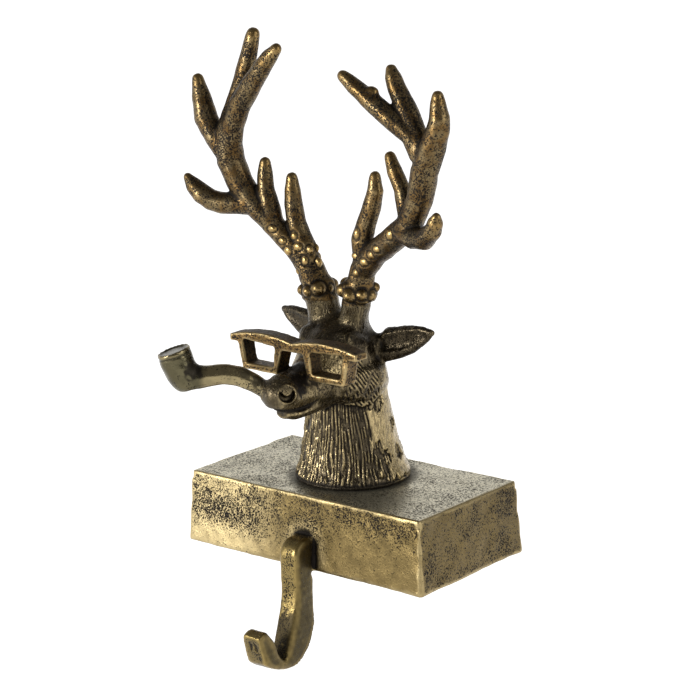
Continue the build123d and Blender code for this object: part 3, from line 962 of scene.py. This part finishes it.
def press_bust(skin, on, settings):
    """Presses in the fur, the mouth, the bowl's line and the antlers' grain, and notes where they lie."""
    soft = on.head * (1.0 - on.soft_pipe)
    rise, on.rubbed = fur_rise(skin.points, settings)
    on.rim = rim_line(skin.points) * skin.smoothed(1.0 * on.pipe, 2)
    on.mouth = soft * mouth_mask(skin.points)
    wobble = 0.06 * ripple(skin.points, 11.0, seed=11) + 0.1 - RING_DEPTH * on.rings
    rise = soft * rise - MOUTH_DEPTH * on.mouth + on.antlers * wobble - RIM_DEPTH * on.rim
    skin.press(rise + 0.04 * ripple(skin.points, 6.0, seed=14))
    skin.keep_inside(bust_low, bust_high)


def store_bust(skin, on):
    """Works out the finish's masks from the bust's form and parts, and stores them with its points."""
    points = skin.points
    height = points[:, 2]
    ears = region(points, EARS)
    relief = skin.relief(6)
    form = skin.smoothed(skin.relief(80), 4)

    # Pearls are rubbed; the ridges of the strands on the neck's front, where it bulges to the light, get
    # painted highlights through the rubbed mask
    pearls = on.bumps * on.antlers * smoothstep(84.0, 87.0, height)
    _, turn, _, _ = neck_frame(points)
    lit = bell(turn, 0.15, 0.5) * region(points, LIT_NECK) * (1.0 - on.antlers)
    crests = 0.72 * lit * smoothstep(0.0, 0.12, relief)
    rubbed = strongest(0.72 * on.rubbed, crests, 0.95 * pearls, 0.35 * on.bumps * on.antlers)

    # Painted shade on the spectacles' top faces, high up; the other darkening is weaker on their upward
    # faces
    upward = on.spectacles * smoothstep(0.4, 0.8, skin.normals()[:, 2])
    stain = strongest(
        bust_stains(points) * (1.0 - 0.7 * upward),
        0.6 * on.rim,
        smoothstep(0.12, 0.4, on.mouth),
        0.9 * on.rings * on.antlers,
        0.5 * upward * smoothstep(58.0, 61.0, height),
    )
    eyes = near_either(points, EYE, EYE_REACH)
    nostrils = near_either(points, NOSTRIL, NOSTRIL_REACH)
    spared = strongest(0.88 * ears, 0.85 * eyes, 0.6 * nostrils)
    skin.store(
        relief=np.where(relief > 0.0, relief * (1.0 - 0.6 * ears), relief),
        hollow=form * (1.0 - spared) * (1.0 + 1.8 * on.antlers),
        rubbed=rubbed,
        sheen=np.maximum(bust_sheen(points), 0.45 * on.antlers * smoothstep(0.35, 0.9, form)),
        stain=stain,
        pitted=np.ones(len(points)),
    )


def bust_materials(colours):
    """The brass of head and neck, of the spectacles, of the pipe and of the antlers."""
    fur = antique_brass(
        "fur_brass", 0.9, (colours.fur, shade(colours.fur, 0.6), colours.dull_gold, colours.patina),
        Edge_Gold=0.45, Pit_Size=0.8, Pits=0.7, Pit_Spread=0.35, Patch_Size=12.0, Streaks=0.6,
        Smoothness=0.17,
    )
    rims = antique_brass(
        "spectacle_brass", 1.0,
        (colours.spectacles, shade(colours.spectacles, 0.65), colours.gold, colours.patina),
        Edge_Gold=0.5, Pit_Size=0.7, Pits=1.0, Pit_Spread=0.8, Patch_Size=6.0, Smoothness=0.3,
    )
    satin = antique_brass(
        "pipe_brass", 0.3, (colours.pipe, shade(colours.pipe, 0.75), colours.gold, colours.patina),
        Edge_Gold=0.35, Pit_Size=0.8, Pits=0.75, Patch_Size=12.0, Smoothness=0.16,
    )
    horn = antique_brass(
        "antler_brass", 0.35, (colours.antler, colours.antler_brown, colours.antler_gold, colours.patina),
        Edge_Gold=0.5, Pit_Size=0.72, Pits=1.15, Pit_Spread=0.6, Patch_Size=9.0, Smoothness=0.27,
    )
    return fur, rims, satin, horn


class DEERHOOK_OT_cast_bust(Operator):
    """Cast the deer's bust: head and neck with spectacles and pipe, and the antlers"""

    bl_idname = "deerhook.cast_bust"
    bl_label = "Cast Bust"

    def execute(self, context):
        settings = context.scene.deer_hook_bust
        clay = node_clay("deer_bust")
        lumps = bust_lumps(settings.pearl_radius / MM)
        for middle, radii in (*lumps, (KNOB, KNOB_RADII)):
            add_lump(clay, middle, radii)
        bust = cast("bust", clay, settings.grain)
        skin = Skin(bust.data, FOOT)
        on = bust_parts(skin, settings, lumps)
        shape_bust(skin, on)
        press_bust(skin, on, settings)
        store_bust(skin, on)

        fur, rims, satin, horn = bust_materials(context.scene.deer_hook_finish)
        upper = skin.points[skin.faces, 2].min(axis=1) > settings.antler_cut / MM
        antlers = bpy.data.objects.new("antlers", bust.data.copy())
        context.scene.collection.objects.link(antlers)
        index = np.zeros(len(skin.faces), np.int32)
        index[skin.faces_on(on.spectacles)] = 1
        index[skin.faces_on(on.pipe)] = 2
        paint_faces(bust, (fur, rims, satin), index)
        paint_faces(antlers, (horn,), np.zeros(len(skin.faces)))
        keep_faces(bust, ~upper)
        keep_faces(antlers, upper)
        for piece in (bust, antlers):
            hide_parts("deer_bust")
            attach(piece, BODY)
        return {"FINISHED"}


# Block and hook


def shape_hook(skin):
    """Wears the hook round, fills its heel, thickens and spreads its toe, and returns where it is."""
    places = skin.points
    _, y, z = places.T
    hook = (y < HOOK_DEPTHS[0]) | ((z < HOOK_HEIGHT) & (y < HOOK_DEPTHS[1]))
    worn = skin.smoothed(1.0 * hook, 3) * (0.35 + 0.65 * region(places, SHANK))
    skin.relax(9, worn)
    skin.press(HOOK_RISE * worn)
    across, backward, upward = skin.normals().T
    back = smoothstep(0.3, 0.8, backward) * region(places, SHANK_BACK)
    heel = smoothstep(0.3, 0.8, 0.8 * backward - 0.6 * upward) * region(places, HEEL)
    skin.press(hook * np.maximum(SHANK_RISE * back, HEEL_RISE * heel))
    right = smoothstep(-0.3, -0.8, across) * region(places, SHANK_SIDE)
    skin.points[:, 0] += hook * (SIDE_SHIFT * right - TOE_SHIFT * region(places, TOE))
    toe_inside = hook * region(places, TOE_INSIDE) * smoothstep(0.1, 0.6, backward + upward)
    skin.points[:, 1:] += toe_inside[:, None] * TOE_INSIDE_SHIFT
    return hook


def tip_pits(points, ragged):
    """1 in the pits of the hook's tip."""
    pits = np.zeros(len(points))
    for middle, sizes in TIP_PITS:
        away = np.linalg.norm((points - middle) / sizes, axis=1) + 0.3 * ragged
        pits = np.maximum(pits, smoothstep(1.1, 0.7, away))
    return pits


def sculpt_block(skin, settings):
    """Shapes the hook, presses in its root's groove and the cast's unevenness, and stores the masks."""
    skin.fair(3, np.ones(len(skin.points)))
    hook = shape_hook(skin)
    x, y, z = skin.points.T
    normals = skin.normals()
    ragged = 0.5 * ripple(skin.points, 2.4, seed=23)

    # A groove runs round the hook's root in an arch
    face = smoothstep(-0.7, -0.9, normals[:, 1]) * inside(y, FRONT_DEPTHS) * (z > FRONT_HEIGHT)
    from_root = np.hypot(x - ROOT_MIDDLE[0], np.maximum(z - ROOT_MIDDLE[1], 0.0)) - ROOT_RADIUS
    groove = face * bell(from_root, 0.7, 0.9)
    waves = ripple(skin.points, 22.0, seed=21) + 0.4 * ripple(skin.points, 7.0, seed=22)
    pits = tip_pits(skin.points, ragged)
    sunk = settings.root_groove / MM * groove + PIT_DEPTH * pits
    skin.press(settings.waves / MM * waves - sunk)
    skin.keep_inside(block_low, block_high)

    # Painted reflection of the bust lies on the top round its foot and on a patch towards the front corner;
    # antiquing lies round the hook's root, in its throat and in its tip's pits; painted shade lies on the
    # hook's side faces
    # Painted reflection of the bust on the top, round its foot
    ring = 0.8 * smoothstep(30.0, 25.0, np.hypot(x, y - FOOT[1] / MM) + ragged)
    browned = 0.6 * smoothstep(21.0, 5.0, np.hypot(x - BROWNED[0], y - BROWNED[1]) + 2.0 * ragged)
    root_stain = 0.85 * face * smoothstep(3.4, 1.4, from_root + ragged)
    blotches = 2.0 * ragged + 1.6 * ripple(skin.points, 3.0, seed=24)
    throat = smoothstep(9.0, 5.0, np.hypot(y - THROAT[0], 0.62 * (z - THROAT[1])) + blotches)
    throat = throat * hook * smoothstep(0.75, 0.45, np.abs(normals[:, 0])) * (z > -33.0)
    # The hook's side faces: painted shade on them, and fewer pits
    hook_side = smoothstep(0.4, 0.8, np.abs(normals[:, 0]))
    stain = strongest(
        np.maximum(ring, browned) * (z > TOP_LEVEL),
        root_stain,
        0.8 * pits,
        0.75 * throat,
        hook * hook_side * (0.4 + 0.15 * ragged),
    )

    # The front is pitted most at its upper left end, and clean along its lower edge
    front = np.abs(normals[:, 1]) > 0.6
    clean = smoothstep(13.0, 3.0, z) + 0.8 * smoothstep(10.0, 30.0, x) * smoothstep(26.0, 12.0, z)
    pitted = 1.0 - 0.75 * np.clip(clean, 0.0, 1.0) + 0.2 * smoothstep(-10.0, -40.0, x)
    pitted = np.where(hook, 1.25 - 0.8 * hook_side, np.where(front, pitted, 1.0))
    # Painted light: the front is lighter towards its left end; it is lighter too in a halo round the hook's
    # root
    sheen = smoothstep(-4.0, -44.0, x) + 0.35 * smoothstep(9.0, 3.0, from_root)
    # Painted light on the hook's front, most in its upper part
    hook_sheen = (0.14 + 0.2 * smoothstep(-24.0, -8.0, z)) * (1.0 - hook_side)
    skin.store(
        relief=skin.relief(6),
        hollow=skin.smoothed(skin.relief(50), 4),
        rubbed=np.zeros(len(x)),
        sheen=np.where(hook, hook_sheen, np.where(front, sheen, 0.0)),
        stain=stain,
        pitted=pitted,
    )
    return hook


def block_materials(colours):
    """The brass of the block's sides, of its top and of the hook."""
    sides = antique_brass(
        "block_side_brass", 0.9, (colours.block, shade(colours.block, 0.8), colours.gold, colours.patina),
        Edge_Gold=0.5, Pit_Size=0.62, Pits=1.0, Pit_Spread=0.55, Patch_Size=11.0, Smoothness=0.3,
    )
    # The top: a lighter copy of the sides' brass, in part painted light
    top = antique_brass(
        "block_top_brass", 0.5, (colours.top, shade(colours.top, 0.85), colours.gold, colours.grey_patina),
        Edge_Gold=0.4, Pit_Size=0.68, Pits=1.0, Pit_Spread=0.65, Patch_Size=16.0, Smoothness=0.28,
    )
    satin = antique_brass(
        "hook_brass", 0.6, (colours.hook, shade(colours.hook, 0.75), colours.hook_gold, colours.patina),
        Edge_Gold=0.4, Pit_Size=0.65, Pits=0.9, Pit_Spread=0.4, Patch_Size=10.0, Smoothness=0.28,
    )
    return sides, top, satin


class DEERHOOK_OT_cast_block(Operator):
    """Cast the block with the hook on its front"""

    bl_idname = "deerhook.cast_block"
    bl_label = "Cast Block"

    def execute(self, context):
        settings = context.scene.deer_hook_block
        block = cast("block_and_hook", node_clay("base_casting"), settings.grain)
        skin = Skin(block.data, np.zeros(3))
        hook = sculpt_block(skin, settings)

        up = skin.normals()[skin.faces, 2].mean(axis=1)
        lowest = skin.points[skin.faces, 2].min(axis=1)
        index = np.zeros(len(skin.faces), np.int32)
        index[(up > 0.7) & (lowest > TOP_LEVEL + 0.5)] = 1
        index[skin.faces_on(hook)] = 2
        paint_faces(block, block_materials(context.scene.deer_hook_finish), index)
        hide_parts("base_casting")
        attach(block, BODY)
        return {"FINISHED"}


# Screw, washer and felt


def plain_material(name, colour, metallic, roughness):
    """A material with a fine uneven tone and grain."""
    material, tree, shader = new_material(name)
    coordinates = add_node(tree, "ShaderNodeTexCoord").outputs["Object"]
    marks = noise(tree, coordinates, 0.8, detail=5.0)
    bumps = {"Strength": 0.4, "Distance": 0.1 * MM, "Height": marks}
    looks = {
        "Base Color": blend_colours(tree, marks, (*shade(colour, 0.7), 1.0), (*shade(colour, 1.2), 1.0)),
        "Roughness": between(tree, marks, 0.3, 0.7, roughness, roughness + 0.12),
        "Metallic": metallic,
        "Normal": add_node(tree, "ShaderNodeBump", bumps).outputs["Normal"],
    }
    set_inputs(tree, shader, looks)
    return material


class DEERHOOK_OT_finish_fixings(Operator):
    """Finish the screw, its washer and the felt under the block"""

    bl_idname = "deerhook.finish_fixings"
    bl_label = "Finish Fixings"

    def execute(self, context):
        zinc = plain_material("zinc_steel", (0.52, 0.52, 0.53), 1.0, 0.34)
        felt = plain_material("dark_felt", (0.035, 0.032, 0.028), 0.0, 0.85)
        for node, material in (("bust_screw", zinc), ("screw_washer", zinc), ("felt_pad", felt)):
            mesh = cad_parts[node].data
            mesh.materials.clear()
            mesh.materials.append(material)
        return {"FINISHED"}


# Stage

# The side of the studio on which the white sheet hangs
SHEET_SIDE = (-0.96, 0.22, 0.0)
# Soft boxes: place and size; and what they face, in metres
KEY_PLACE = (-0.5, -1.2, 0.3)
KEY_SIZE = 0.4
FILL_PLACE = (1.1, 0.1, 0.5)
FILL_SIZE = 0.8
LAMP_AIM = (0.0, 0.0, 0.09)
# Floor: its size, and how far it lies under the part
FLOOR_SIZE = 8.0
FLOOR_GAP = 0.5 * MM
# Camera: width of its sensor in millimetres, and from where on it sees, in metres
SENSOR_WIDTH = 36.0
CLIP_START = 0.01
WHITE = (1.0, 1.0, 1.0, 1.0)


def floor_material():
    """A white floor that keeps the shadow, and shows as white to the camera and in the metal."""
    material, tree, shader = new_material("floor_white")
    path = add_node(tree, "ShaderNodeLightPath").outputs
    seen = largest(tree, path["Is Camera Ray"], path["Is Glossy Ray"], path["Is Transmission Ray"])
    looks = {
        "Base Color": (0.9, 0.9, 0.9, 1.0),
        "Roughness": 0.9,
        "Specular IOR Level": 0.0,
        "Emission Color": WHITE,
        "Emission Strength": calculate(tree, "MULTIPLY", seen, 0.95),
    }
    set_inputs(tree, shader, looks)
    return material


def white_world(scene, strength):
    """A grey studio with a white sheet low down behind and to the left, all white to the camera."""
    world = bpy.data.worlds.new("studio")
    world.use_nodes = True
    scene.world = world
    tree = world.node_tree
    path = add_node(tree, "ShaderNodeLightPath").outputs
    direction = add_node(tree, "ShaderNodeTexCoord").outputs["Generated"]
    rise = add_node(tree, "ShaderNodeSeparateXYZ", {"Vector": direction}).outputs["Z"]
    towards = {0: direction, 1: SHEET_SIDE}
    sideways = add_node(tree, "ShaderNodeVectorMath", towards, operation="DOT_PRODUCT").outputs["Value"]
    sheet = calculate(tree, "MULTIPLY", between(tree, rise, 0.75, 0.2), between(tree, sideways, -0.7, 0.4))
    mirrored = largest(tree, path["Is Glossy Ray"], path["Is Transmission Ray"])
    seen = largest(tree, path["Is Camera Ray"], calculate(tree, "MULTIPLY", mirrored, sheet))
    level = add_node(tree, "ShaderNodeMix", {0: seen, 2: strength, 3: 1.0}, data_type="FLOAT").outputs[0]
    set_inputs(tree, tree.nodes["Background"], {"Color": WHITE, "Strength": level})


def stand(scene, name, data, location, aim, roll=0.0):
    """Stands a lamp or a camera at a place, facing what it is aimed at."""
    holder = bpy.data.objects.new(name, data)
    holder.location = location
    holder.rotation_mode = "QUATERNION"
    facing = (Vector(aim) - Vector(location)).to_track_quat("-Z", "Y")
    holder.rotation_quaternion = facing @ Quaternion((0.0, 0.0, 1.0), roll)
    scene.collection.objects.link(holder)
    return holder


def soft_box(scene, name, location, size, power):
    """A square lamp that faces the bust."""
    lamp = bpy.data.lights.new(name, "AREA")
    lamp.energy = power
    lamp.size = size
    stand(scene, name, lamp, location, LAMP_AIM)


class DEERHOOK_OT_set_stage(Operator):
    """Set the floor, the lamps and the camera"""

    bl_idname = "deerhook.set_stage"
    bl_label = "Set Stage"

    def execute(self, context):
        scene = context.scene
        settings = scene.deer_hook_stage
        bpy.ops.mesh.primitive_plane_add(size=FLOOR_SIZE, location=(0.0, 0.0, cad_low.z - FLOOR_GAP))
        floor = context.object
        floor.name = "floor"
        floor.data.materials.append(floor_material())

        white_world(scene, settings.world_light)
        soft_box(scene, "key", KEY_PLACE, KEY_SIZE, settings.key_light)
        soft_box(scene, "fill", FILL_PLACE, FILL_SIZE, settings.fill_light)

        camera = bpy.data.cameras.new("camera")
        camera.lens = settings.camera_lens
        camera.sensor_width = SENSOR_WIDTH
        camera.clip_start = CLIP_START
        scene.camera = stand(
            scene, "camera", camera, settings.camera_place, settings.camera_aim, settings.camera_roll
        )
        scene.view_settings.view_transform = "Standard"
        return {"FINISHED"}


# The add-on

SETTINGS = {
    "deer_hook_bust": DeerHookBust,
    "deer_hook_block": DeerHookBlock,
    "deer_hook_finish": DeerHookFinish,
    "deer_hook_stage": DeerHookStage,
}
OPERATORS = (
    DEERHOOK_OT_cast_bust,
    DEERHOOK_OT_cast_block,
    DEERHOOK_OT_finish_fixings,
    DEERHOOK_OT_set_stage,
)


class DEERHOOK_PT_panel(Panel):
    """Sidebar panel with the settings and the steps"""

    bl_idname = "DEERHOOK_PT_panel"
    bl_label = "Deer Hook"
    bl_space_type = "VIEW_3D"
    bl_region_type = "UI"
    bl_category = "Deer Hook"

    def draw(self, context):
        for name in SETTINGS:
            settings = getattr(context.scene, name)
            box = self.layout.box()
            for key in settings.__annotations__:
                box.prop(settings, key)
        for operator in OPERATORS:
            self.layout.operator(operator.bl_idname)


CLASSES = (*SETTINGS.values(), *OPERATORS, DEERHOOK_PT_panel)


def register():
    """Makes the classes known to Blender, and hangs the settings on the scene."""
    for cls in CLASSES:
        bpy.utils.register_class(cls)
    for name, cls in SETTINGS.items():
        setattr(bpy.types.Scene, name, PointerProperty(type=cls))


def unregister():
    """Takes back what register did."""
    for name in SETTINGS:
        delattr(bpy.types.Scene, name)
    for cls in reversed(CLASSES):
        bpy.utils.unregister_class(cls)


def main():
    """Builds the scene."""
    register()
    bpy.ops.deerhook.cast_bust()
    bpy.ops.deerhook.cast_block()
    bpy.ops.deerhook.finish_fixings()
    bpy.ops.deerhook.set_stage()
    bpy.context.view_layer.update()


if __name__ == "__main__":
    main()
